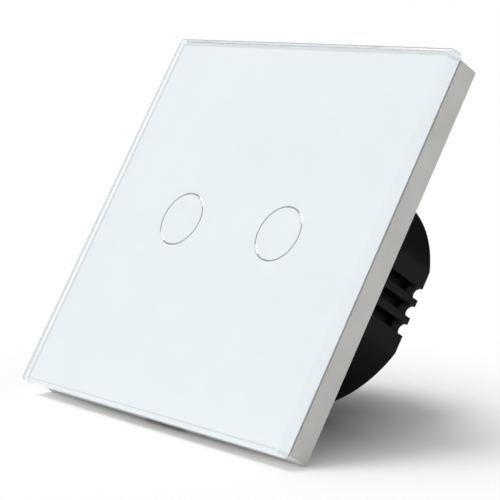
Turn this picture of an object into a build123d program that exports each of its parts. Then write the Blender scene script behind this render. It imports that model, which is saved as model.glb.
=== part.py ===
from build123d import *
import os
from math import ceil, cos, pi, sin, sqrt

# A two-gang touch light switch for a round flush box, in millimetres.
# X points right and Z up as seen by the person who uses it, and Y points into the wall.
# The wall's surface is the plane Y = 0, so the glass lies at negative Y and the
# housing that goes into the box at positive Y. "Front" and "back" are values of Y.

# Glass, print and ring lines
panel_side = 80.0
glass_thickness = 3.0
glass_bevel = 0.5
glass_corner_radius = 0.8
print_thickness = 0.2
print_margin = 0.3
ring_inset = 3.5
ring_radius = 5.6
ring_line_width = 0.35

# Frame behind the glass
frame_overhang = 0.6
frame_depth = 5.2
frame_wall = 1.6
frame_corner_radius = 0.5
frame_rim_rounding = 0.3
tape_thickness = 0.3
tape_setback = 0.5
shelf_width = 6.4
shelf_thickness = 1.0
shelf_corner_radius = 4.0
clip_rib_length = 14.0
clip_rib_spacing = 40.0
clip_lead_in = 0.6
clip_clearance = 0.1
pry_notch_width = 12.0
pry_notch_depth = 1.2

# Steel mounting plate
plate_inset = 3.9
plate_thickness = 1.0
plate_corner_radius = 5.0
box_screw_inset = 5.5
box_slot_length = 7.0
box_slot_width = 3.6
plate_opening_gap = 1.0
plate_opening_height = 17.0
plate_opening_radius = 3.0

# Black front cover and its snap legs
cover_gap = 2.8
cover_corner_radius = 8.0
cover_wall = 1.5
cover_edge_rounding = 0.6
cover_leg_width = 6.0
cover_leg_thickness = 1.2
cover_leg_inset = 3.1
cover_hook = 0.5
cover_hook_depth = 1.0
leg_clearance = 0.15

# Light guides, springs and lamps under the ring lines
guide_projection = 0.2
guide_wall = 1.2
guide_rim_share = 0.5
guide_cap_thickness = 1.0
guide_flange_width = 1.0
guide_flange_thickness = 0.8
guide_clearance = 0.1
guide_end_gap = 0.3
spring_radius = 3.6
spring_wire = 0.5
spring_turns = 2.5
spring_seat_clearance = 0.05
led_length = 3.5
led_width = 2.8
led_height = 1.9
led_lens_share = 0.36

# Circuit boards
touch_board_setback = 1.5
touch_board_thickness = 1.2
board_gap_share = 0.148
power_board_thickness = 1.6
board_clearance = 0.5
board_edge_gap = 0.3
boss_notch_clearance = 0.4
chip_length = 9.9
chip_width = 3.9
chip_height = 1.5
chip_leg_length = 1.0
chip_leg_thickness = 0.4
chip_leg_width = 0.45
chip_leg_spacing = 1.27
chip_leg_pairs = 8
chip_height_on_board = 9.0
header_pins = 5
header_pin_spacing = 2.54
header_strip_width = 2.5
header_strip_height = 2.4
header_pin = 0.64
header_drop = 12.0
spacer_radius = 1.5
spacer_offset = 8.0
spacer_inset = 3.2

# Rear housing
housing_radius = 24.3
housing_depth = 25.8
housing_wall = 1.6
housing_edge_rounding = 0.4
flat_cut = 1.6
slot_rib = 1.6
slot_depth = 3.2
slot_floor_wall = 1.2
channel_length = 3.3
channel_depth = 2.0
channel_radius = 1.25
lug_width = 9.0
lug_height = 1.2
lug_depth = 1.1
lug_rounding = 0.4
boss_inset = 3.2
boss_radius = 2.6
boss_depth = 9.6
board_rest_width = 2.0
board_rest_reach = 2.3
access_hole_radius = 1.3
access_countersink = 0.3

# Screws from plate to housing
screw_radius = 1.1
screw_length = 8.0
screw_head_radius = 2.0
screw_head_height = 1.3
screw_head_bevel = 0.4
screw_hole_clearance = 0.2
screw_pilot_clearance = 0.05
screw_recess_width = 0.6
screw_recess_depth = 0.7

# Terminals: block, bars, rising cages and screws
terminal_count = 3
terminal_spacing = 3.81
block_length = 7.2
block_wall = 0.6
block_end_wall = 2.0
block_end_gap = 0.1
bar_thickness = 0.8
bar_width = 1.6
bar_end_gap = 0.6
bar_leg = 0.7
bar_leg_gap = 0.3
cage_length = 4.0
cage_side_clearance = 0.1
cage_wall = 0.4
cage_floor = 0.6
cage_thread_wall = 1.4
cage_gap = 0.3
wire_mouth = 2.4
wire_entry_radius = 1.0
clamp_travel = 2.0
travel_clearance = 0.3
shoulder_thickness = 0.6
terminal_screw_radius = 1.0
terminal_head_radius = 1.35
terminal_head_height = 1.4
terminal_head_play = 0.05
terminal_tip_gap = 0.2
terminal_bearing_clearance = 0.1
thread_clearance = 0.05
driver_slot_width = 0.5
driver_slot_depth = 0.7

# Relays
relay_gap = 1.2
relay_inset = 5.0
relay_left_gap = 1.6
relay_right_gap = 4.6
relay_end_gap = 0.8
relay_wall = 0.6
relay_base_height = 1.4
yoke_thickness = 1.0
yoke_side_gap = 0.9
yoke_end_gap = 0.5
core_share = 0.4
bobbin_wall_gap = 0.3
bobbin_yoke_gap = 0.3
bobbin_flange = 0.7
bobbin_gap = 0.1
winding_setback = 0.4
winding_bore_clearance = 0.05
armature_room = 2.5
armature_overhang = 0.2
armature_thickness = 1.0
armature_gap = 0.05
armature_angle = 3.0
blade_width = 3.0
blade_thickness = 0.3
blade_end_gap = 1.0
blade_overlap = 1.1
rivet_radius = 0.9
rivet_height = 0.6
contact_gap = 0.05
contact_post_width = 2.2
contact_post_thickness = 0.8

# Power supply parts
supply_gap = 1.0
film_capacitor_inset = 1.75
film_capacitor_width = 12.0
film_capacitor_height = 11.0
film_capacitor_rounding = 0.8
can_radius = 4.0
can_height = 12.0
can_groove = 0.3
can_groove_height = 1.6
coil_radius = 3.2
coil_height = 8.0
coil_terminal_gap = 1.6
coil_drop = 3.4
coil_flange = 1.0
coil_waist = 0.5
fuse_radius = 1.8
fuse_height = 7.0
fuse_offset = 1.4
fuse_rise = 4.4
fuse_cap_height = 1.6
fuse_waist = 0.2
rectifier_length = 4.7
rectifier_width = 3.9
rectifier_height = 2.5
rectifier_drop = 5.0
rectifier_leg_length = 1.0
rectifier_leg_thickness = 0.4
rectifier_leg_width = 0.8
rectifier_leg_spacing = 2.54

# One overrun serves every cut that goes right through
overrun = 1.0

# Levels along Y, from the glass to the back of the housing
glass_back = -frame_depth
glass_front = glass_back - glass_thickness
print_back = glass_back + print_thickness
tape_back = print_back + tape_thickness
shelf_back = tape_back + shelf_thickness
cover_front = print_back + guide_projection
cover_back = cover_front + cover_wall
plate_front = -plate_thickness
guide_seat = print_back + guide_cap_thickness
touch_board_front = touch_board_setback
touch_board_back = touch_board_front + touch_board_thickness
power_board_front = touch_board_back + board_gap_share * housing_depth
power_board_back = power_board_front + power_board_thickness
housing_floor = housing_depth - housing_wall
channel_front = housing_depth - channel_length

# Places across the housing
frame_side = panel_side - 2 * frame_overhang
shelf_opening = frame_side - 2 * shelf_width
plate_side = frame_side - 2 * plate_inset
box_screw_spacing = plate_side - 2 * box_screw_inset
guide_radius = ring_radius + guide_wall * guide_rim_share
housing_inner_radius = housing_radius - housing_wall
cover_leg_offset = housing_inner_radius - cover_leg_inset
boss_offset = (housing_radius - boss_inset) / sqrt(2)
flat_distance = housing_radius - flat_cut
slot_width = terminal_spacing - slot_rib
slot_floor = flat_distance - slot_depth
terminal_wall = slot_floor - slot_floor_wall
board_edge = terminal_wall - board_edge_gap
ring_place = board_edge - ring_inset
plate_opening_width = 2 * (ring_place + guide_radius + plate_opening_gap)
cover_side = 2 * (ring_place + guide_radius + guide_flange_width + cover_gap + cover_wall)
board_radius = housing_inner_radius - board_clearance
spacer_height = sqrt((board_radius - spacer_inset) ** 2 - spacer_offset ** 2)
block_left = board_edge - block_length
block_width = terminal_count * terminal_spacing + block_wall
pocket_width = terminal_spacing - block_wall
terminal_places = [(i - (terminal_count - 1) / 2) * terminal_spacing for i in range(terminal_count)]
boss_places = [(boss_offset * side, boss_offset * end) for side in (-1, 1) for end in (-1, 1)]
ring_places = (-ring_place, ring_place)

# Places of the supply parts on the power board, from the terminals to the housing's wall
coil_shift = block_left - coil_terminal_gap - coil_radius
fuse_shift = coil_shift - fuse_offset
can_shift = coil_shift - coil_radius - supply_gap - can_radius
film_capacitor_right = can_shift - can_radius - supply_gap
film_capacitor_left = -sqrt((board_radius - film_capacitor_inset) ** 2 - (film_capacitor_width / 2) ** 2)

# Levels inside a terminal, measured from the housing's floor
block_back = housing_floor - block_end_gap
head_back = block_back - block_end_wall - terminal_head_play
head_front = head_back - terminal_head_height
shoulder_back = head_front - terminal_head_play
shoulder_front = shoulder_back - shoulder_thickness
cage_back = shoulder_front - travel_clearance - clamp_travel
bar_back = cage_back - cage_thread_wall - cage_gap
bar_front = bar_back - bar_thickness
cage_front = bar_front - wire_mouth - cage_floor
wire_level = bar_front - wire_mouth / 2
cage_width = pocket_width - 2 * cage_side_clearance
pocket_start = block_left + block_wall
cage_start = pocket_start + 2 * bar_leg_gap + bar_leg
screw_axis = cage_start + cage_length / 2

# A relay's outline on the power board, between the bosses, the film capacitor and the rim
relay_left = boss_radius + relay_left_gap - boss_offset
relay_right = boss_offset - boss_radius - relay_right_gap
relay_near = film_capacitor_width / 2 + relay_gap
relay_far = board_radius - relay_inset
relay_length = relay_right - relay_left
relay_width = relay_far - relay_near
relay_shift = (relay_left + relay_right) / 2
relay_offset = (relay_near + relay_far) / 2

# Levels and places inside a relay
relay_floor = power_board_back + relay_base_height
relay_back = housing_floor - relay_end_gap
pole_face = relay_back - relay_wall - armature_room
hinge_level = pole_face + armature_gap
yoke_start = relay_left + relay_wall + yoke_end_gap
yoke_width = relay_width - 2 * (relay_wall + yoke_side_gap)
bobbin_radius = relay_width / 2 - relay_wall - bobbin_wall_gap
winding_radius = bobbin_radius - winding_setback
core_radius = core_share * winding_radius
core_place = yoke_start + yoke_thickness + bobbin_yoke_gap + bobbin_radius
armature_end = core_place + bobbin_radius + armature_overhang
blade_end = relay_right - relay_wall - blade_end_gap
contact_place = blade_end - rivet_radius


def slab(outline, front, back):
    """The outline, drawn in X and Z, carried along Y from front to back."""
    return extrude(Plane.XZ.offset(-front) * outline, front - back)


def disc(radius, x, z, front, back):
    """A round bar along Y."""
    return slab(Pos(x, z) * Circle(radius), front, back)


def block(left, right, bottom, top, front, back):
    """A box given by its six faces."""
    outline = Pos((left + right) / 2, (bottom + top) / 2) * Rectangle(right - left, top - bottom)
    return slab(outline, front, back)


def centred(length, width, x, z, front, back):
    """A box given by its centre in X and Z."""
    return slab(Pos(x, z) * Rectangle(length, width), front, back)


def one(shape):
    """The single solid of a result."""
    return shape.solids()[0]


def group(shapes):
    """Separate solids kept together in one node."""
    return Compound(children=[one(shape) for shape in shapes])


def flatted(radius, flat):
    """A round outline with its right side cut off at the distance flat."""
    return Circle(radius) - Pos(flat + radius, 0) * Rectangle(2 * radius, 2 * radius)


# Front panel

def glass_panel():
    """Square pane with all edges bevelled."""
    pane = slab(RectangleRounded(panel_side, panel_side, glass_corner_radius), glass_front, glass_back)
    rims = pane.edges().group_by(Axis.Y)
    return chamfer(rims[0] + rims[-1], glass_bevel)


def back_print():
    """White enamel on the back of the glass, cut through where the ring lines are."""
    side = panel_side - 2 * (glass_bevel + print_margin)
    sheet = slab(RectangleRounded(side, side, glass_corner_radius), glass_back, print_back)
    for x in ring_places:
        sheet -= ring_line(x)
    return Compound(children=list(sheet.solids()))


def ring_line(x):
    """One ring line, as thick as the print."""
    outer = disc(ring_radius + ring_line_width / 2, x, 0, glass_back, print_back)
    return outer - disc(ring_radius - ring_line_width / 2, x, 0, glass_back, print_back)


def touch_rings():
    """The two ring lines that mark where to touch."""
    return group([ring_line(x) for x in ring_places])


def frame_tape():
    """Bonding tape between the print and the frame's shelf."""
    side = frame_side - 2 * tape_setback
    opening = shelf_opening + 2 * tape_setback
    outline = Rectangle(side, side) - RectangleRounded(opening, opening, shelf_corner_radius)
    return slab(outline, print_back, tape_back)


def panel_frame():
    """Frame with a shelf for the glass, clip ribs for the plate and a notch to pry it off."""
    outer = RectangleRounded(frame_side, frame_side, frame_corner_radius)
    frame = slab(outer, tape_back, 0)
    frame = fillet(frame.edges().group_by(Axis.Y)[-1], frame_rim_rounding)
    inner_side = frame_side - 2 * frame_wall
    frame -= slab(RectangleRounded(inner_side, inner_side, frame_corner_radius), shelf_back, overrun)
    opening = RectangleRounded(shelf_opening, shelf_opening, shelf_corner_radius)
    frame -= slab(opening, tape_back - overrun, shelf_back + overrun)
    grip = plate_side / 2 + clip_clearance
    for turn in range(4):
        for end in (-1, 1):
            frame += Rot(0, 90 * turn, 0) * clip_rib(grip, inner_side / 2, end * clip_rib_spacing / 2)
    notch = centred(pry_notch_width, 2 * frame_wall, 0, -frame_side / 2, -pry_notch_depth, overrun)
    return one(frame - notch)


def clip_rib(start, end, z):
    """A rib on the frame's inner wall that grips the edge of the plate, with a sloping mouth."""
    half = clip_rib_length / 2
    rib = block(start, end + frame_wall / 2, z - half, z + half, shelf_back, -frame_rim_rounding)
    mouth = rib.edges().filter_by(Axis.Z).group_by(Axis.Y)[-1].sort_by(Axis.X)[0]
    return chamfer(mouth, clip_lead_in)


# Plate and cover

def mounting_plate():
    """Steel plate with two pairs of box screw slots, an opening for the light guides, and screw holes."""
    outline = RectangleRounded(plate_side, plate_side, plate_corner_radius)
    outline -= RectangleRounded(plate_opening_width, plate_opening_height, plate_opening_radius)
    slot = Pos(box_screw_spacing / 2, 0) * SlotOverall(box_slot_length, box_slot_width)
    for turn in range(4):
        outline -= Rot(0, 0, 90 * turn) * slot
    for side in (-1, 1):
        outline -= Pos(0, side * cover_leg_offset) * leg_window()
    for x, z in boss_places:
        outline -= Pos(x, z) * Circle(screw_radius + screw_hole_clearance)
    return one(slab(outline, plate_front, 0))


def leg_window():
    """The hole that a snap leg of the cover goes through, hook included."""
    play = 2 * leg_clearance
    return Rectangle(cover_leg_width + play, cover_leg_thickness + 2 * cover_hook + play)


def front_cover():
    """Shallow black tray, face down on the plate, with two holes for the light guides."""
    cover = slab(RectangleRounded(cover_side, cover_side, cover_corner_radius), cover_front, plate_front)
    cover = fillet(cover.edges().group_by(Axis.Y)[0], cover_edge_rounding)
    inner = cover_side - 2 * cover_wall
    cover -= slab(RectangleRounded(inner, inner, cover_corner_radius - cover_wall), cover_back, overrun)
    for x in ring_places:
        cover -= disc(guide_radius + guide_clearance, x, 0, cover_front - overrun, cover_back + overrun)
    for side in (-1, 1):
        cover += snap_leg(side)
    return one(cover)


def snap_leg(side):
    """A leg with a hook that catches behind the plate, above or below the centre."""
    place = side * cover_leg_offset
    leg = centred(cover_leg_width, cover_leg_thickness, 0, place, cover_back, cover_hook_depth)
    reach = place - side * cover_hook
    return leg + centred(cover_leg_width, cover_leg_thickness, 0, reach, 0, cover_hook_depth)


def housing_screws():
    """Four pan head screws through the plate into the housing's bosses."""
    return group([housing_screw(x, z) for x, z in boss_places])


def housing_screw(x, z):
    """One screw with its cross recess."""
    screw = disc(screw_head_radius, x, z, plate_front - screw_head_height, plate_front)
    screw = chamfer(screw.edges().group_by(Axis.Y)[0], screw_head_bevel)
    screw += disc(screw_radius, x, z, plate_front, plate_front + screw_length)
    top = plate_front - screw_head_height
    bottom = top + screw_recess_depth
    screw -= centred(2 * screw_radius, screw_recess_width, x, z, top - overrun, bottom)
    screw -= centred(screw_recess_width, 2 * screw_radius, x, z, top - overrun, bottom)
    return screw


# Sensors

def light_guide(x):
    """Milky cup whose rim lights the ring line, with a flange behind the cover."""
    end = -guide_end_gap
    guide = disc(guide_radius, x, 0, print_back, end)
    guide += disc(guide_radius + guide_flange_width, x, 0, cover_back, cover_back + guide_flange_thickness)
    return guide - disc(guide_radius - guide_wall, x, 0, guide_seat, end + overrun)


def light_guides():
    """One guide under each ring."""
    return group([light_guide(x) for x in ring_places])


def biarc(start, start_way, end, end_way):
    """Two arcs that leave start and reach end in the given directions and meet smoothly."""
    chord = end - start
    bend = 1 - start_way.dot(end_way)
    along = chord.dot(start_way + end_way)
    reach = (sqrt(along * along + 2 * bend * chord.dot(chord)) - along) / (2 * bend)
    first = start + start_way * reach
    last = end - end_way * reach
    middle = (first + last) / 2
    return [TangentArc(start, middle, tangent=start_way), TangentArc(middle, end, tangent=last - first)]


def helix_point(x, front, back, turns):
    """Place and direction on the spring's centre line after some turns."""
    rise = (back - front) / spring_turns
    angle = 2 * pi * turns
    place = Vector(x + spring_radius * cos(angle), front + rise * turns, spring_radius * sin(angle))
    way = Vector(-spring_radius * sin(angle), rise / (2 * pi), spring_radius * cos(angle))
    return place, way.normalized()


def touch_spring(x):
    """One unbroken coil from the light guide's cap to the touch board."""
    inset = spring_wire / 2 + spring_seat_clearance
    front = guide_seat + inset
    back = touch_board_front - inset
    quarters = ceil(4 * spring_turns)
    stations = [helix_point(x, front, back, spring_turns * i / quarters) for i in range(quarters + 1)]
    arcs = []
    for (start, start_way), (end, end_way) in zip(stations, stations[1:]):
        arcs += biarc(start, start_way, end, end_way)
    place, way = stations[0]
    return sweep(Plane(origin=place, z_dir=way) * Circle(spring_wire / 2), path=Wire(arcs))


def spring_self_gap():
    """Least distance between neighbouring turns of a spring, less the wire, on points along it."""
    inset = spring_wire / 2 + spring_seat_clearance
    steps = 72
    line = [
        helix_point(0, guide_seat + inset, touch_board_front - inset, i / steps)[0]
        for i in range(int(spring_turns * steps) + 1)
    ]
    half = steps // 2
    pairs = [(a, b) for i, a in enumerate(line) for b in line[i + half:]]
    return min((a - b).length for a, b in pairs) - spring_wire


def touch_springs():
    """One spring in each light guide."""
    return group([touch_spring(x) for x in ring_places])


def indicator_lamp(x):
    """A small surface lamp with a round lens, inside a spring."""
    body = touch_board_front - led_height * (1 - led_lens_share)
    lamp = centred(led_length, led_width, x, 0, body, touch_board_front)
    return lamp + disc(led_width * led_lens_share, x, 0, touch_board_front - led_height, body)


def indicator_leds():
    """One lamp in each spring."""
    return group([indicator_lamp(x) for x in ring_places])


# Circuit boards

def board(front, back):
    """Round board that clears the housing's bosses and its terminal wall."""
    outline = flatted(board_radius, board_edge)
    for x, z in boss_places:
        outline -= Pos(x, z) * Circle(boss_radius + boss_notch_clearance)
    return one(slab(outline, front, back))


def touch_board():
    """Sensor board, just behind the plate."""
    return board(touch_board_front, touch_board_back)


def power_board():
    """Power board, which carries the relays and the terminals on its back."""
    return board(power_board_front, power_board_back)


def touch_chip():
    """Sensor chip on the back of the touch board, with its legs."""
    chip = centred(
        chip_length, chip_width, 0, chip_height_on_board, touch_board_back, touch_board_back + chip_height
    )
    for i in range(chip_leg_pairs):
        x = (i - (chip_leg_pairs - 1) / 2) * chip_leg_spacing
        width = chip_width + 2 * chip_leg_length
        chip += centred(
            chip_leg_width, width, x, chip_height_on_board, touch_board_back,
            touch_board_back + chip_leg_thickness,
        )
    return one(chip)


def board_header():
    """Strip of pins that joins the two boards."""
    strip = centred(
        header_pins * header_pin_spacing, header_strip_width, 0, -header_drop,
        touch_board_back, touch_board_back + header_strip_height,
    )
    for i in range(header_pins):
        x = (i - (header_pins - 1) / 2) * header_pin_spacing
        strip += centred(
            header_pin, header_pin, x, -header_drop, touch_board_back + header_strip_height / 2,
            power_board_front,
        )
    return one(strip)


def board_spacers():
    """Posts that hold the boards apart."""
    return group([
        disc(spacer_radius, -spacer_offset, side * spacer_height, touch_board_back, power_board_front)
        for side in (-1, 1)
    ])


# Power supply

def supply_capacitor():
    """Boxed film capacitor with rounded edges."""
    half = film_capacitor_width / 2
    box = block(
        film_capacitor_left, film_capacitor_right, -half, half,
        power_board_back, power_board_back + film_capacitor_height,
    )
    return fillet(box.edges().filter_by(Axis.Y), film_capacitor_rounding)


def storage_capacitor():
    """Electrolytic can with the groove that crimps its seal."""
    can = disc(can_radius, can_shift, 0, power_board_back, power_board_back + can_height)
    level = power_board_back + can_groove_height
    ring = disc(can_radius + overrun, can_shift, 0, level - can_groove, level + can_groove)
    return can - (ring - disc(can_radius - can_groove, can_shift, 0, level - can_groove, level + can_groove))


def supply_coil():
    """Drum core choke: two flanges with the winding between them."""
    top = power_board_back + coil_height
    core = disc(coil_radius - coil_waist, coil_shift, -coil_drop, power_board_back, top)
    core += disc(coil_radius, coil_shift, -coil_drop, power_board_back, power_board_back + coil_flange)
    return core + disc(coil_radius, coil_shift, -coil_drop, top - coil_flange, top)


def rectifier():
    """Bridge rectifier between the boards, with its four legs."""
    front = power_board_front - rectifier_height
    chip = centred(rectifier_length, rectifier_width, 0, -rectifier_drop, front, power_board_front)
    for side in (-1, 1):
        x = side * rectifier_leg_spacing / 2
        chip += centred(
            rectifier_leg_width, rectifier_width + 2 * rectifier_leg_length, x, -rectifier_drop,
            power_board_front - rectifier_leg_thickness, power_board_front,
        )
    return one(chip)


def fuse():
    """Standing tube fuse with two metal caps."""
    top = power_board_back + fuse_height
    tube = disc(fuse_radius - fuse_waist, fuse_shift, fuse_rise, power_board_back, top)
    tube += disc(fuse_radius, fuse_shift, fuse_rise, power_board_back, power_board_back + fuse_cap_height)
    return tube + disc(fuse_radius, fuse_shift, fuse_rise, top - fuse_cap_height, top)


# Relays

def relay_base(z):
    """Moulded base that stands on the power board."""
    return centred(relay_length, relay_width, relay_shift, z, power_board_back, relay_floor)


def relay_cover(z):
    """Thin shell over the works of a relay."""
    shell = centred(relay_length, relay_width, relay_shift, z, relay_floor, relay_back)
    inner_length = relay_length - 2 * relay_wall
    inner_width = relay_width - 2 * relay_wall
    inner_back = relay_back - relay_wall
    return shell - centred(inner_length, inner_width, relay_shift, z, relay_floor - overrun, inner_back)


def relay_yoke(z):
    """Bent iron yoke with the round core that stands in the coil."""
    foot_end = core_place + bobbin_radius
    bottom = z - yoke_width / 2
    top = z + yoke_width / 2
    foot = relay_floor + yoke_thickness
    yoke = block(yoke_start, foot_end, bottom, top, relay_floor, foot)
    yoke += block(yoke_start, yoke_start + yoke_thickness, bottom, top, foot, pole_face)
    return yoke + disc(core_radius, core_place, z, foot, pole_face)


def relay_coil(z):
    """Bobbin with its winding, round the core."""
    front = relay_floor + yoke_thickness
    back = pole_face - bobbin_flange
    coil = disc(winding_radius, core_place, z, front, back)
    coil += disc(bobbin_radius, core_place, z, front, front + bobbin_flange)
    coil += disc(bobbin_radius, core_place, z, back - bobbin_flange, back - bobbin_gap)
    return coil - disc(core_radius + winding_bore_clearance, core_place, z, front - overrun, back + overrun)


def relay_contact(z):
    """Fixed contact: a strip that stands on the base, with a rivet on its end."""
    rivet_front = hinge_level - contact_gap - 2 * rivet_height
    half = contact_post_width / 2
    right = contact_place + contact_post_thickness / 2
    left = contact_place - contact_post_thickness / 2
    post = block(left, right, z - half, z + half, relay_floor, rivet_front)
    return post + disc(rivet_radius, contact_place, z, rivet_front, rivet_front + rivet_height)


def relay_armature(z):
    """Iron flap, hinged on the edge of the yoke, with the moving contact on its blade; shown released."""
    front = hinge_level
    back = front + armature_thickness
    half = yoke_width / 2
    flap = block(yoke_start, armature_end, z - half, z + half, front, back)
    blade = block(
        armature_end - blade_overlap, blade_end, z - blade_width / 2, z + blade_width / 2,
        back, back + blade_thickness,
    )
    rivet = disc(rivet_radius, contact_place, z, hinge_level - rivet_height, back)
    hinge = Axis((yoke_start, hinge_level, z), (0, 0, 1))
    return one(flap + blade + rivet).rotate(hinge, armature_angle)


def relays(piece):
    """The same piece in both relays."""
    return group([piece(side * relay_offset) for side in (1, -1)])


# Terminals

def terminal_block():
    """Insulating block: a pocket for each clamp, a shoulder and a chamber for each screw head."""
    half = block_width / 2
    body = block(block_left, board_edge, -half, half, power_board_back, block_back)
    open_end = board_edge + overrun
    for z in terminal_places:
        side = pocket_width / 2
        body -= block(pocket_start, open_end, z - side, z + side, power_board_back - overrun, shoulder_front)
        neck = terminal_screw_radius + terminal_bearing_clearance
        body -= side_slot(neck, z, open_end, shoulder_front - overrun, shoulder_back)
        chamber = terminal_head_radius + terminal_bearing_clearance
        body -= side_slot(chamber, z, open_end, shoulder_back, head_back + terminal_head_play)
        body -= disc(neck, screw_axis, z, head_back, housing_floor + overrun)
    return one(body)


def side_slot(radius, z, end, front, back):
    """A round hole on the screw's axis, open towards the wire side."""
    hole = disc(radius, screw_axis, z, front, back)
    return hole + block(screw_axis, end, z - radius, z + radius, front, back)


def terminal_bar(z):
    """Fixed current bar over the wire, with its leg on the power board."""
    left = pocket_start + bar_leg_gap
    half = bar_width / 2
    bar = block(left, board_edge - bar_end_gap, z - half, z + half, bar_front, bar_back)
    return bar + block(left, left + bar_leg, z - half, z + half, power_board_back, bar_back)


def terminal_bars():
    """One current bar in each pocket."""
    return group([terminal_bar(z) for z in terminal_places])


def clamp_cage(z):
    """Brass frame round the bar and the wire; its threaded wall climbs the screw."""
    end = cage_start + cage_length
    half = cage_width / 2
    cage = block(cage_start, end, z - half, z + half, cage_front, cage_back)
    inner = half - cage_wall
    mouth_back = bar_back + cage_gap
    mouth_front = cage_front + cage_floor
    cage -= block(cage_start - overrun, end + overrun, z - inner, z + inner, mouth_front, mouth_back)
    bore = terminal_screw_radius + thread_clearance
    return one(cage - disc(bore, screw_axis, z, mouth_back - cage_gap, cage_back + overrun))


def terminal_screw(z):
    """Slotted screw, held endways by its head between the shoulder and the block's end wall."""
    screw = disc(terminal_screw_radius, screw_axis, z, bar_back + terminal_tip_gap, head_back)
    screw += disc(terminal_head_radius, screw_axis, z, head_front, head_back)
    reach = terminal_head_radius + overrun
    half = driver_slot_width / 2
    left = screw_axis - reach
    right = screw_axis + reach
    floor = head_back - driver_slot_depth
    return one(screw - block(left, right, z - half, z + half, floor, head_back + overrun))


# Rear housing

def rear_housing():
    """Round black cup with one flat side, three wire slots, bosses, board rests and lugs."""
    cup = slab(flatted(housing_radius, flat_distance), 0, housing_depth)
    cup = fillet(cup.edges().group_by(Axis.Y)[-1], housing_edge_rounding)
    cup -= slab(flatted(housing_inner_radius, flat_distance - housing_wall), -overrun, housing_floor)
    cup += terminal_bay()
    for z in terminal_places:
        cup -= wire_slot(z)
        cup -= access_hole(z)
    pilot_end = plate_front + screw_length + overrun
    for x, z in boss_places:
        cup += disc(boss_radius, x, z, 0, boss_depth)
        cup -= disc(screw_radius + screw_pilot_clearance, x, z, -overrun, pilot_end)
    for turn in (90, 180, 270):
        cup += Rot(0, turn, 0) * board_rest()
    for turn in (90, 180, 270):
        cup += Rot(0, turn, 0) * lug()
    return one(cup)


def terminal_bay():
    """The thick part of the flat side that the wire slots are sunk into."""
    half = (terminal_count * terminal_spacing + slot_rib) / 2
    return block(terminal_wall, flat_distance - housing_wall / 2, -half, half, 0, housing_floor)


def wire_slot(z):
    """A deep slot along the flat side, its entry into the terminal, and the shallow round end."""
    half = slot_width / 2
    out = flat_distance + overrun
    slot = block(slot_floor, out, z - half, z + half, -overrun, channel_front + overrun)
    centre = flat_distance - channel_depth + channel_radius
    round_end = disc(channel_radius, centre, z, channel_front, housing_depth + overrun)
    low = z - channel_radius
    high = z + channel_radius
    round_end += block(centre, out, low, high, channel_front, housing_depth + overrun)
    entry = Pos(slot_floor, wire_level, z) * Rot(0, 90, 0) * Cylinder(wire_entry_radius, 2 * slot_depth)
    return slot + round_end + entry


def access_hole(z):
    """The hole for the screwdriver, with a countersunk mouth."""
    hole = disc(access_hole_radius, screw_axis, z, housing_floor - overrun, housing_depth + overrun)
    mouth = Plane(origin=(screw_axis, housing_depth, z), z_dir=(0, 1, 0))
    cone = loft([
        mouth.offset(-access_countersink) * Circle(access_hole_radius),
        mouth * Circle(access_hole_radius + access_countersink),
    ])
    return hole + cone


def board_rest():
    """A rib on the cup's wall, on the right before it is turned, that the power board rests on."""
    reach = housing_inner_radius - board_rest_reach
    half = board_rest_width / 2
    return block(reach, housing_radius - housing_wall / 2, -half, half, power_board_back, housing_floor)


def lug():
    """A rounded lug at the mouth of the cup, on the right before it is turned."""
    ring = disc(housing_radius + lug_height, 0, 0, 0, lug_depth)
    ring = fillet(ring.edges().group_by(Axis.Y)[-1], lug_rounding)
    ring -= disc(housing_radius - housing_wall / 2, 0, 0, -overrun, lug_depth + overrun)
    start = housing_radius - housing_wall
    half = lug_width / 2
    return ring & block(start, housing_radius + 2 * lug_height, -half, half, -overrun, lug_depth + overrun)


# All nodes

nodes = {
    "glass_panel": glass_panel(),
    "back_print": back_print(),
    "touch_rings": touch_rings(),
    "frame_tape": frame_tape(),
    "panel_frame": panel_frame(),
    "mounting_plate": mounting_plate(),
    "front_cover": front_cover(),
    "housing_screws": housing_screws(),
    "light_guides": light_guides(),
    "touch_springs": touch_springs(),
    "indicator_leds": indicator_leds(),
    "touch_board": touch_board(),
    "touch_chip": touch_chip(),
    "board_header": board_header(),
    "board_spacers": board_spacers(),
    "power_board": power_board(),
    "supply_capacitor": supply_capacitor(),
    "storage_capacitor": storage_capacitor(),
    "supply_coil": supply_coil(),
    "rectifier": rectifier(),
    "fuse": fuse(),
    "relay_bases": relays(relay_base),
    "relay_covers": relays(relay_cover),
    "relay_yokes": relays(relay_yoke),
    "relay_coils": relays(relay_coil),
    "relay_contacts": relays(relay_contact),
    "relay_armature_1": relay_armature(relay_offset),
    "relay_armature_2": relay_armature(-relay_offset),
    "terminal_block": terminal_block(),
    "terminal_bars": terminal_bars(),
    "rear_housing": rear_housing(),
}
for number, z in enumerate(terminal_places, 1):
    nodes[f"clamp_cage_{number}"] = clamp_cage(z)
    nodes[f"terminal_screw_{number}"] = terminal_screw(z)

os.makedirs("parts", exist_ok=True)
for name, shape in nodes.items():
    export_step(shape, f"parts/{name}.step")
print("least gap between spring turns", round(spring_self_gap(), 2), "mm")
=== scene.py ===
import math
import bmesh
import bpy
import numpy as np
from mathutils import Matrix, Vector


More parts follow.
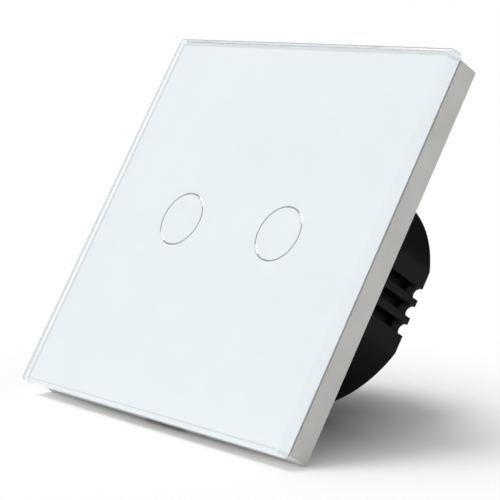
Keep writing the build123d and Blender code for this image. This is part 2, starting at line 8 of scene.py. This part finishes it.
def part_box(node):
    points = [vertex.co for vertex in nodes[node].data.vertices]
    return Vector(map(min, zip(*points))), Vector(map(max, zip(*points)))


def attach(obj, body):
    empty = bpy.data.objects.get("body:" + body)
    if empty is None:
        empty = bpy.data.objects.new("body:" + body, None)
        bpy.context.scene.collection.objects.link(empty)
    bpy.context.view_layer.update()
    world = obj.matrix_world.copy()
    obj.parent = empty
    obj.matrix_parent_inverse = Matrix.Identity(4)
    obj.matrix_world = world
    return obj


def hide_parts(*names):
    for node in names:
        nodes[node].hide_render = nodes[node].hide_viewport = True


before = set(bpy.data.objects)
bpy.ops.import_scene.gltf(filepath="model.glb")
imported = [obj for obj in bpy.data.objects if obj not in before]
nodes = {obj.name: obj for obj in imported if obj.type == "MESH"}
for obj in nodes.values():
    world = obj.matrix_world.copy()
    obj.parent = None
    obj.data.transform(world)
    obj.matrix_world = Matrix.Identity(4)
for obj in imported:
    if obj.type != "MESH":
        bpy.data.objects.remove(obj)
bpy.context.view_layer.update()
scene = bpy.context.scene
scene.view_settings.view_transform = "Standard"

# Camera: a long lens a third of a metre away, below and to the right of the panel's middle as the
# wall would see it. The switch leans back on its floor, so from there it is seen from slightly above.
eye = Vector((0.26856, -0.21820, -0.07721))
aim = Vector((-0.00409, 0.00391, -0.00039))
right_hand = Vector((0.64376, 0.65130, 0.40173))
camera_data = bpy.data.cameras.new("camera")
camera_data.sensor_width = 36.0
camera_data.lens = 131.3
camera = bpy.data.objects.new("camera", camera_data)
scene.collection.objects.link(camera)
back_way = (eye - aim).normalized()
side_way = (right_hand - back_way * right_hand.dot(back_way)).normalized()
camera_turn = Matrix((side_way, back_way.cross(side_way), back_way)).transposed()
camera.matrix_world = Matrix.Translation(eye) @ camera_turn.to_4x4()
scene.camera = camera

# Room: the switch rests on the lower back edge of its frame and on the rear rim of its housing, so the
# room's floor is tilted under it by the angle between those two edges.
frame_low, frame_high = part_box("panel_frame")
housing_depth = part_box("rear_housing")[1].y
housing_wall_and_gap = 0.0021
housing_radius = housing_wall_and_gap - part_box("power_board")[0].x
lean = math.atan2(-frame_low.z - housing_radius, housing_depth)
deep_way = Vector((0, math.cos(lean), math.sin(lean)))
up_way = Vector((0, -math.sin(lean), math.cos(lean)))
floor_level = up_way.dot(Vector((0, frame_high.y, frame_low.z)))
room = Matrix((Vector((1, 0, 0)), deep_way, up_way)).transposed()


class Value:
    """A socket of a finish's nodes, so that an expression on values adds its Math nodes."""

    def __init__(self, paint, socket):
        self.paint = paint
        self.socket = socket

    def math(self, operation, *values):
        return self.paint.node("ShaderNodeMath", {"operation": operation}, dict(enumerate(values)))

    def __add__(self, other):
        return self.math("ADD", self, other)

    def __sub__(self, other):
        return self.math("SUBTRACT", self, other)

    def __rsub__(self, other):
        return self.math("SUBTRACT", other, self)

    def __mul__(self, other):
        return self.math("MULTIPLY", self, other)

    def most(self, other):
        return self.math("MAXIMUM", self, other)

    def above(self, other):
        return self.math("GREATER_THAN", self, other)

    def size(self):
        return self.math("ABSOLUTE", self)

    def sine(self):
        return self.math("SINE", self)

    def ramp(self, low, high):
        """0 below low, 1 above high and a smooth change between them."""
        ends = {"Value": self, "From Min": low, "From Max": high}
        return self.paint.node("ShaderNodeMapRange", {"interpolation_type": "SMOOTHSTEP"}, ends)

    __radd__ = __add__
    __rmul__ = __mul__


class Paint:
    """A finish: a material, or the world, with the nodes that make it."""

    def __init__(self, name, store=bpy.data.materials):
        self.data = store.new(name)
        self.data.use_nodes = True
        self.tree = self.data.node_tree

    def put(self, socket, value):
        """Sets a socket to a value, or links it to another node's socket."""
        if isinstance(value, Value):
            self.tree.links.new(value.socket, socket)
        elif socket.type == "RGBA":
            socket.default_value = (*value, 1.0)
        else:
            socket.default_value = value

    def node(self, kind, settings, inputs, out=0):
        """Any node: its settings first, then the values or links of its sockets; gives one output."""
        made = self.tree.nodes.new(kind)
        for key, value in settings.items():
            setattr(made, key, value)
        for key, value in inputs.items():
            self.put(made.inputs[key], value)
        return Value(self, made.outputs[out])

    def ray(self, kind):
        """1 for rays of that kind."""
        return self.node("ShaderNodeLightPath", {}, {}, f"Is {kind} Ray")

    def seen_plain(self):
        """1 for the rays that show a thing: to the camera, in a mirror or through clear glass."""
        return self.ray("Camera").most(self.ray("Glossy")).most(self.ray("Transmission"))

    def place(self):
        """The point's place on the object, in metres."""
        return self.node("ShaderNodeTexCoord", {}, {}, "Object")

    def part(self, vector, axis):
        """One of a vector's three values."""
        return self.node("ShaderNodeSeparateXYZ", {}, {0: vector}, axis)

    def facing_front(self):
        """The share of the surface's facing that lies along Y, with its sign."""
        return self.part(self.node("ShaderNodeTexCoord", {}, {}, "Normal"), "Y")

    def noise(self, grain, detail=2.0, stretch=(1.0, 1.0, 1.0)):
        """Even noise whose lumps are about as large as grain, in metres, and longer along a small stretch."""
        scaled = self.node("ShaderNodeMapping", {}, {"Vector": self.place(), "Scale": stretch})
        values = {"Vector": scaled, "Scale": 1.0 / grain, "Detail": detail}
        return self.node("ShaderNodeTexNoise", {}, values)

    def blend(self, factor, first, second):
        """One colour turning into another."""
        return self.node("ShaderNodeMix", {"data_type": "RGBA"}, {0: factor, 6: first, 7: second}, 2)

    def mix(self, factor, first, second):
        """One shader turning into another."""
        return self.node("ShaderNodeMixShader", {}, {0: factor, 1: first, 2: second})

    def bump(self, height, depth):
        """Relief of that depth, in metres."""
        return self.node("ShaderNodeBump", {}, {"Height": height, "Distance": depth, "Strength": 1.0})

    def set(self, **sockets):
        """Sets the main shader's sockets, named with _ for a space; gives the shader."""
        shader = self.tree.nodes["Principled BSDF"]
        for key, value in sockets.items():
            self.put(shader.inputs[key.replace("_", " ")], value)
        return Value(self, shader.outputs[0])

    def show(self, shader):
        """Makes that shader the surface in place of the main one."""
        self.put(self.tree.nodes["Material Output"].inputs["Surface"], shader)


# World: a pale soft studio, brighter from the front, the left and above than from the right and
# behind. The camera, glass and metal see it as plain white, apart from a dim wall high up behind the
# switch, which the round side of the black housing mirrors.
studio = Paint("studio", bpy.data.worlds)
scene.world = studio.data
bright_side = room @ Vector((-0.38, -0.66, 0.64)).normalized()
sky_way = studio.node("ShaderNodeTexCoord", {}, {}, "Generated")
towards = studio.node("ShaderNodeVectorMath", {"operation": "DOT_PRODUCT"}, {0: sky_way, 1: bright_side}, "Value")
slope = {"Value": towards, "From Min": -0.22, "From Max": 0.90, "To Min": 0.02, "To Max": 1.01}
level = studio.node("ShaderNodeMapRange", {}, slope)
wall_side = Vector((-0.16, 0.62, 0.76)).normalized()
wall_ends = 0.53, 0.87
to_wall = studio.node("ShaderNodeVectorMath", {"operation": "DOT_PRODUCT"}, {0: sky_way, 1: wall_side}, "Value")
thrown_back = studio.ray("Glossy") * (1.0 - studio.ray("Transmission"))
plain = 1.0 - thrown_back * to_wall.ramp(*wall_ends)
strength = studio.node("ShaderNodeMapRange", {}, {"Value": studio.seen_plain(), "To Min": level, "To Max": plain})
backdrop = studio.tree.nodes["Background"].inputs
studio.put(backdrop["Color"], (1.0, 1.0, 1.0))
studio.put(backdrop["Strength"], strength)

# Key lamp: one soft light from the upper left, a little in front of the switch. Its disc is wide
# enough to blur the shadow behind the frame, and it isn't mirrored in the glass.
key_way = room @ Vector((-0.24, -0.12, 0.96)).normalized()
key_data = bpy.data.lights.new("key", "SUN")
key_data.energy = 1.18
key_data.angle = math.radians(26)
key = bpy.data.objects.new("key", key_data)
key.rotation_mode = "QUATERNION"
key.rotation_quaternion = key_way.to_track_quat("Z", "Y")
scene.collection.objects.link(key)

# Floor: a sheet of white paper. Close to the switch it takes its shadow, and further out it is plain
# white to the camera. From underneath it lets the camera look through.
floor_reach = 1.5
floor_corners = [
    room @ Vector((side * floor_reach, deep * floor_reach, floor_level))
    for side, deep in ((-1, -1), (1, -1), (1, 1), (-1, 1))
]
floor_mesh = bpy.data.meshes.new("floor")
floor_mesh.from_pydata(floor_corners, [], [(0, 1, 2, 3)])
floor = bpy.data.objects.new("floor", floor_mesh)
scene.collection.objects.link(floor)
shadow_ends = 0.034, 0.102
paper = Paint("paper")
sheet = paper.set(Base_Color=(0.97, 0.97, 0.97), Roughness=0.9, Specular_IOR_Level=0.0)
distance = paper.node("ShaderNodeVectorMath", {"operation": "LENGTH"}, {0: paper.place()}, "Value")
glow = paper.node("ShaderNodeEmission", {}, {"Color": (1.0, 1.0, 1.0), "Strength": 1.0})
far_white = paper.mix(distance.ramp(*shadow_ends) * paper.seen_plain(), sheet, glow)
underside = paper.node("ShaderNodeNewGeometry", {}, {}, "Backfacing")
paper.show(paper.mix(underside, far_white, paper.node("ShaderNodeBsdfTransparent", {}, {})))
floor_mesh.materials.append(paper.data)


def new_piece(name, mesh, paint, body, slot, *stands_for):
    """Puts a mesh into the scene as one piece, riding on its body in place of the nodes it stands for."""
    piece = bpy.data.objects.new(name, mesh)
    scene.collection.objects.link(piece)
    mesh.materials.append(paint.data)
    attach(piece, body)
    if stands_for:
        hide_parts(*stands_for)
    return piece


def rounded_square(half, radius, steps=8):
    """Points of a square with round corners, in X and Z: each corner's centre plus a quarter circle."""
    angle = np.linspace(0, np.pi / 2, steps)
    quarter = np.stack([np.cos(angle), np.sin(angle)], 1) * radius + (half - radius)
    quarters = [quarter]
    for turn in range(3):
        quarters.append(np.stack([-quarters[-1][:, 1], quarters[-1][:, 0]], 1))
    return np.concatenate(quarters)


def square_rings(halves, radius, levels):
    """Round-cornered squares of those half widths, each at its level along Y."""
    outlines = np.stack([rounded_square(half, radius) for half in halves])
    depth = np.broadcast_to(np.asarray(levels)[:, None], outlines.shape[:2])
    return np.stack([outlines[..., 0], depth, outlines[..., 1]], -1)


def closed_mesh(name, *shells, capped=False):
    """A mesh from shells of rings: ring i joined to ring i + 1 by four-sided faces, and flat end caps if capped."""
    points, faces = [], []
    for rings in shells:
        count, around = rings.shape[:2]
        start = len(points)
        row = start + np.arange(count - 1)[:, None] * around
        first = row + np.arange(around)[None, :]
        second = row + (np.arange(around)[None, :] + 1) % around
        faces += np.stack([first, second, second + around, first + around], -1).reshape(-1, 4).tolist()
        points += rings.reshape(-1, 3).tolist()
        if capped:
            faces += [list(range(start, start + around))[::-1], list(range(len(points) - around, len(points)))]
    mesh = bpy.data.meshes.new(name)
    mesh.from_pydata(points, [], faces)
    work = bmesh.new()
    work.from_mesh(mesh)
    bmesh.ops.remove_doubles(work, verts=work.verts, dist=1e-8)
    bmesh.ops.recalc_face_normals(work, faces=work.faces)
    work.to_mesh(mesh)
    work.free()
    mesh.shade_smooth()
    mesh.set_sharp_from_angle(angle=math.radians(30))
    return mesh


# Glass: a 3 mm toughened pane, clear, with narrow polished bevels and a smooth edge all round. It
# carries the print on its back and is bonded to the frame. A hundredth of a millimetre of the print
# lies inside the pane, so that the two touch and the light goes from one into the other.
glass_low, glass_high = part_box("glass_panel")
pane_bevel = 0.0006
pane_corner = 0.0006
print_grip = 0.00001
bevel_inset = pane_bevel * np.array([1.00, 0.90, 0.80, 0.10, 0.03, 0.00])
bevel_depth = bevel_inset[::-1]
pane_halves = glass_high.x - np.concatenate([bevel_inset, bevel_depth])
pane_levels = np.concatenate([glass_low.y + bevel_depth, glass_high.y + print_grip - bevel_inset])
pane_mesh = closed_mesh("glass_pane", square_rings(pane_halves, pane_corner, pane_levels), capped=True)
clear_glass = Paint("clear_glass")
# The bevels and sides of the pane are painted a little darker and greyer than its face, as painted shade for the grey
# lines along its edges. They are also slightly rough.
edge = 1.0 - clear_glass.facing_front().size().ramp(0.90, 0.995)
wave = clear_glass.noise(grain=0.02, detail=1.0)
glass_body = clear_glass.set(
    Base_Color=clear_glass.blend(edge, (0.985, 0.995, 0.993), (0.95, 0.965, 0.97)),
    Roughness=edge * 0.05,
    IOR=1.5,
    Transmission_Weight=1.0,
    Normal=clear_glass.bump(wave, depth=0.000002),
)
lit_through = clear_glass.ray("Shadow").most(clear_glass.ray("Diffuse"))
open_way = clear_glass.node("ShaderNodeBsdfTransparent", {}, {"Color": (0.975, 0.98, 0.98)})
clear_glass.show(clear_glass.mix(lit_through, glass_body, open_way))
new_piece("glass_pane", pane_mesh, clear_glass, "front_panel", "clear_glass", "glass_panel")


def dress(paint, *names):
    """Gives the solids of those names a finish, in their own material slot."""
    for name in names:
        nodes[name].material_slots[0].material = paint.data


# Print: opaque white enamel, screen printed and fired onto the back of the glass. It covers all but a
# narrow margin and is very slightly cloudy.
enamel = Paint("white_enamel")
cloud = enamel.noise(grain=0.012, detail=3.0)
enamel.set(
    Base_Color=enamel.blend(cloud.ramp(0.3, 0.7), (0.775, 0.83, 0.855), (0.79, 0.845, 0.87)),
    Roughness=0.45 + cloud * 0.1,
)
dress(enamel, "back_print")

# Margin: a thin pale grey line round the edge of the print, painted shade that stands in for the grey lines along the
# pane's edges. It lies half on the print and half on the clear margin, and shows through the glass along the pane's
# edges.
print_low, print_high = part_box("back_print")
line_overlap = 0.00045
line_reach = 0.00030
line_corner = 0.0004
line_grip = 0.000005
line_inner, line_outer = print_high.x - line_overlap, print_high.x + line_reach
line_front, line_back = print_low.y - line_grip, print_high.y
line_rings = square_rings(
    (line_inner, line_outer, line_outer, line_inner, line_inner),
    line_corner,
    (line_front, line_front, line_back, line_back, line_front),
)
edge_shade_grey = Paint("edge_shade_grey")
mist = edge_shade_grey.noise(grain=0.004)
edge_shade_grey.set(
    Base_Color=edge_shade_grey.blend(mist.ramp(0.3, 0.7), (0.65, 0.68, 0.695), (0.67, 0.70, 0.715)),
    Roughness=0.5,
)
new_piece("print_border", closed_mesh("print_border", line_rings), edge_shade_grey, "front_panel", "white_enamel")


def ridge_ring(x, radius, half_width, front, slope, depth, steps=120):
    """A ring round Y: a ridge falling at that slope to both sides, closed by a flat back, on a circle."""
    turn = np.linspace(0, 2 * np.pi, steps + 1)[:, None]
    offset = half_width * np.array([-1, -1, -0.5, -0.06, 0.06, 0.5, 1, 1])[None, :]
    level = front + np.abs(offset) * np.tan(slope) + 0 * turn
    level[:, [0, -1]] = front + depth
    reach = radius + offset
    return np.stack([x + reach * np.cos(turn), level, reach * np.sin(turn)], -1)


# Ring lines: silver ink laid into fine ring-shaped gaps of the print, one for each touch field. The
# line has two sloping flanks, so it is grey all round and flashes white where one faces the light.
ring_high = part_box("touch_rings")[1]
ring_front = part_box("touch_rings")[0].y
ring_slope = math.radians(32)
ring_half_width = 0.00013
ring_depth = 0.00018
ring_radius = ring_high.z - 0.000175
ring_place = ring_high.x - ring_high.z
ring_shapes = [
    ridge_ring(x, ring_radius, ring_half_width, ring_front, ring_slope, ring_depth) for x in (-ring_place, ring_place)
]
silver_ink = Paint("ring_ink")
flakes = silver_ink.noise(grain=0.00006)
silver_ink.set(
    Base_Color=silver_ink.blend(flakes.ramp(0.3, 0.7), (0.36, 0.37, 0.38), (0.44, 0.45, 0.46)),
    Metallic=1.0,
    Roughness=0.09 + flakes * 0.05,
)
new_piece("ring_lines", closed_mesh("ring_line", *ring_shapes), silver_ink, "front_panel", "ring_ink", "touch_rings")


def moulded(name, colour, rough, grain=0.00025, depth=0.000006, gloss=0.5):
    """Moulded plastic: a fine even texture from the tool, faint flow marks and small changes of gloss."""
    paint = Paint(name)
    flow = paint.noise(grain=0.009, detail=3.0)
    light = tuple(share * 1.04 for share in colour)
    dark = tuple(share * 0.96 for share in colour)
    paint.set(
        Base_Color=paint.blend(flow.ramp(0.3, 0.7), dark, light),
        Roughness=rough - 0.05 + flow * 0.1,
        Specular_IOR_Level=gloss,
        Normal=paint.bump(paint.noise(grain), depth),
    )
    return paint


def rounded_piece(name, node, paint, body, slot, width):
    """A solid's own surface with its flat faces whole again and its edges rounded by that width."""
    mesh = bpy.data.meshes.new("fine_" + node)
    work = bmesh.new()
    work.from_mesh(nodes[node].data)
    bmesh.ops.remove_doubles(work, verts=work.verts, dist=1e-6)
    bmesh.ops.dissolve_limit(work, angle_limit=math.radians(0.5), verts=work.verts, edges=work.edges)
    work.to_mesh(mesh)
    work.free()
    mesh.shade_smooth()
    mesh.set_sharp_from_angle(angle=math.radians(35))
    piece = new_piece(name, mesh, paint, body, slot, node)
    rounding = piece.modifiers.new("edges", "BEVEL")
    rounding.width = width
    rounding.segments = 2
    rounding.limit_method = "ANGLE"
    rounding.angle_limit = math.radians(40)
    shading = piece.modifiers.new("flat_faces", "WEIGHTED_NORMAL")
    shading.mode = "FACE_AREA"
    shading.weight = 80
    shading.keep_sharp = False


# Frame: pale warm grey plastic, moulded in one piece with its ribs and its pry notch, with a fine
# satin texture. The glass is bonded into it, and it clips onto the edge of the steel plate.
frame_plastic = moulded("frame_plastic", (0.735, 0.735, 0.71), rough=0.5)
rounded_piece("panel_frame_moulding", "panel_frame", frame_plastic, "front_panel", "frame_plastic", width=0.00015)

# Tape: a die-cut ring of grey-white foam, sticky on both sides, that bonds the pane to the frame. Its
# cut edge shows the open cells of the foam.
tape = Paint("bonding_tape")
cells = tape.noise(grain=0.00012)
tape.set(
    Base_Color=tape.blend(cells.ramp(0.35, 0.65), (0.50, 0.51, 0.51), (0.62, 0.63, 0.63)),
    Roughness=0.85,
    Normal=tape.bump(cells, depth=0.00002),
)
dress(tape, "frame_tape")

# Housing and cover: black flame-retardant plastic. The housing is one moulding with its slots, ribs and
# lugs, screwed to the plate; its face is spark-eroded, so it stays dull where light grazes it.
black_plastic = moulded("black_plastic", (0.0065, 0.0065, 0.0085), rough=0.5, grain=0.0003, depth=0.000012, gloss=0.12)
rounded_piece("rear_housing_moulding", "rear_housing", black_plastic, "module", "black_plastic", width=0.00012)
dress(black_plastic, "front_cover")

# Plate: pressed from zinc-coated steel sheet, and screwed to the box in the wall. The coating shows
# soft spangles and a faint grain from rolling.
zinc = Paint("zinc_steel")
crystals = zinc.node("ShaderNodeTexVoronoi", {}, {"Vector": zinc.place(), "Scale": 420.0}, "Color")
spangle = zinc.part(crystals, "X")
rolled = zinc.noise(grain=0.0004, detail=3.0, stretch=(0.08, 1.0, 1.0))
zinc.set(
    Base_Color=zinc.blend(spangle, (0.61, 0.62, 0.63), (0.66, 0.67, 0.68)),
    Metallic=1.0,
    Roughness=0.28 + spangle * 0.05 + rolled * 0.12,
    Normal=zinc.bump(rolled, depth=0.000003),
)
dress(zinc, "mounting_plate")

# Light guides and board spacers: moulded from milky polycarbonate. The guides sit in the cover behind
# the ring lines and spread the lamps' light; the spacers stand between the boards.
milky = Paint("milky_plastic")
haze = milky.noise(grain=0.002, detail=3.0)
milky.set(
    Base_Color=milky.blend(haze.ramp(0.3, 0.7), (0.78, 0.80, 0.80), (0.86, 0.88, 0.88)),
    Roughness=0.35 + haze * 0.1,
    Subsurface_Weight=0.3,
    Subsurface_Scale=0.001,
)
dress(milky, "light_guides", "board_spacers")

# Lamps: small packages with a round lens of bluish epoxy, cast clear and glossy, soldered to the
# touch board inside the springs.
lamp = Paint("lamp_epoxy")
lamp.set(
    Base_Color=lamp.blend(lamp.noise(grain=0.0006).ramp(0.4, 0.6), (0.62, 0.72, 0.86), (0.74, 0.82, 0.92)),
    Roughness=0.15,
    Coat_Weight=0.6,
)
dress(lamp, "indicator_leds")

# Touch springs: coiled from nickel-plated spring wire, bright, with fine marks from the drawing die.
# Each one is held between its light guide and the touch board.
spring = Paint("spring_steel")
drawn = spring.noise(grain=0.00008)
spring.set(
    Base_Color=(0.72, 0.70, 0.66),
    Metallic=1.0,
    Roughness=0.18 + drawn * 0.14,
    Normal=spring.bump(drawn, depth=0.000002),
)
dress(spring, "touch_springs")

# Boards: glass-epoxy laminate under green lacquer, routed to a round outline. Copper tracks stand out
# paler under the lacquer, and the sawn rim shows the bare, straw-coloured laminate.
board = Paint("circuit_board")
wander = board.noise(grain=0.006, detail=0.0)
lanes = ((board.part(board.place(), "X") + wander * 0.0015) * 2600.0).sine()
tracks = lanes.above(0.45) * board.noise(grain=0.004, detail=1.0, stretch=(0.3, 1.0, 1.0)).above(0.5)
lacquer = board.blend(tracks, (0.010, 0.085, 0.035), (0.030, 0.19, 0.08))
weave = board.noise(grain=0.0002, stretch=(1.0, 0.1, 1.0))
laminate = board.blend(weave, (0.42, 0.36, 0.20), (0.55, 0.48, 0.28))
flat_face = board.facing_front().size().ramp(0.3, 0.6)
board.set(
    Base_Color=board.blend(flat_face, laminate, lacquer),
    Roughness=0.62 - flat_face * 0.34,
    Normal=board.bump(tracks * flat_face, depth=0.00002),
)
dress(board, "touch_board", "power_board")

# Chip, rectifier and plug strip: packages of black moulding compound, dull and finely grained, with
# their legs soldered into the boards.
chip_epoxy = moulded("chip_epoxy", (0.022, 0.022, 0.024), rough=0.62, grain=0.00012)
dress(chip_epoxy, "touch_chip", "rectifier", "board_header")

# Film capacitor: a wound film element cast into a yellow plastic box, which stands on the power board
# on its two leads.
film_box = moulded("film_capacitor_box", (0.72, 0.47, 0.06), rough=0.38, grain=0.0004)
dress(film_box, "supply_capacitor")

# Storage capacitor: a drawn aluminium can in a dark shrink sleeve with a pale stripe. The end is bare
# metal, brushed, and the can stands on the power board.
can = Paint("can_aluminium")
stripe_start = 0.0033
stripe = can.part(can.place(), "Z").above(stripe_start)
sleeve = can.blend(stripe, (0.020, 0.024, 0.060), (0.55, 0.56, 0.60))
bare_end = can.facing_front().ramp(0.5, 0.7)
brushed = can.noise(grain=0.0003, detail=3.0)
can.set(
    Base_Color=can.blend(bare_end, sleeve, (0.78, 0.79, 0.80)),
    Metallic=bare_end,
    Roughness=0.34 + brushed * 0.1 - bare_end * 0.08,
    Normal=can.bump(brushed, depth=0.000003),
)
dress(can, "storage_capacitor")

# Supply coil: a pressed and fired ferrite drum round its winding, dark grey, dull, with tiny pits,
# glued to the power board.
ferrite = Paint("ferrite")
pits = ferrite.noise(grain=0.0002, detail=4.0)
ferrite.set(
    Base_Color=ferrite.blend(pits.ramp(0.3, 0.7), (0.030, 0.030, 0.032), (0.060, 0.060, 0.062)),
    Roughness=0.6 + pits * 0.2,
    Normal=ferrite.bump(pits, depth=0.00002),
)
dress(ferrite, "supply_coil")

# Fuse: an upright tube of brown ceramic, glazed and fired, with a metal cap at each end. It stands on
# the power board beside the terminals.
glaze = Paint("fuse_ceramic")
mottle = glaze.noise(grain=0.0009, detail=4.0)
glaze.set(
    Base_Color=glaze.blend(mottle.ramp(0.3, 0.7), (0.22, 0.12, 0.06), (0.32, 0.18, 0.09)),
    Roughness=0.25 + mottle * 0.15,
    Coat_Weight=0.4,
)
dress(glaze, "fuse")

# Relays: bases and covers moulded from deep blue plastic. The base is soldered to the power board by
# its pins, and the cover snaps over the works.
relay_blue = moulded("relay_plastic", (0.020, 0.075, 0.24), rough=0.36, grain=0.0003, depth=0.000008)
dress(relay_blue, "relay_bases", "relay_covers")

# Relay iron: yokes and armatures stamped from soft iron and zinc plated, slightly yellow. The armature
# rocks on the edge of its yoke.
iron = Paint("relay_iron")
stamped = iron.noise(grain=0.0003, detail=3.0, stretch=(1.0, 0.1, 1.0))
iron.set(
    Base_Color=(0.62, 0.60, 0.54),
    Metallic=1.0,
    Roughness=0.32 + stamped * 0.15,
    Normal=iron.bump(stamped, depth=0.000004),
)
dress(iron, "relay_yokes", "relay_armature_1", "relay_armature_2")

# Relay coils: lacquered copper wire, wound in close turns round the bobbin from end to end. The
# bobbin is pushed over the yoke's core.
wire = Paint("copper_wire")
# The turns are painted darker where they dip between one another, as painted shade in the grooves; the same waves give
# the turns their relief.
turns = (wire.part(wire.place(), "Y") * 42000.0).sine()
wire.set(
    Base_Color=wire.blend(turns.ramp(-1.0, 0.4), (0.28, 0.08, 0.025), (0.68, 0.26, 0.10)),
    Metallic=0.7,
    Roughness=0.3,
    Normal=wire.bump(turns, depth=0.00003),
)
dress(wire, "relay_coils")

# Brass: contact posts, clamp cages and terminal bars, stamped, bent and left bare, slightly tarnished.
# The cages hang on their screws, and the bars stand on the power board.
brass = Paint("contact_brass")
tarnish = brass.noise(grain=0.0015, detail=4.0)
brass.set(
    Base_Color=brass.blend(tarnish.ramp(0.35, 0.7), (0.70, 0.50, 0.22), (0.56, 0.38, 0.16)),
    Metallic=1.0,
    Roughness=0.24 + tarnish * 0.2,
    Normal=brass.bump(brass.noise(grain=0.0002, stretch=(1.0, 0.1, 1.0)), depth=0.000003),
)
dress(brass, "relay_contacts", "terminal_bars", "clamp_cage_1", "clamp_cage_2", "clamp_cage_3")

# Terminal block: dark grey heat-proof plastic, moulded round three cells. It stands on the power board
# behind the housing's wire slots.
block_grey = moulded("terminal_plastic", (0.028, 0.028, 0.030), rough=0.5, grain=0.0003, depth=0.000010)
dress(block_grey, "terminal_block")

# Screws: headed and rolled from steel wire, with a bright, slightly bluish zinc plating. Four hold the
# plate to the housing, and three clamp the wires.
screw = Paint("screw_steel")
plating = screw.noise(grain=0.0004, detail=3.0)
screw.set(
    Base_Color=screw.blend(plating.ramp(0.3, 0.7), (0.66, 0.68, 0.71), (0.74, 0.76, 0.78)),
    Metallic=1.0,
    Roughness=0.22 + plating * 0.14,
    Normal=screw.bump(plating, depth=0.000003),
)
dress(screw, "housing_screws", "terminal_screw_1", "terminal_screw_2", "terminal_screw_3")
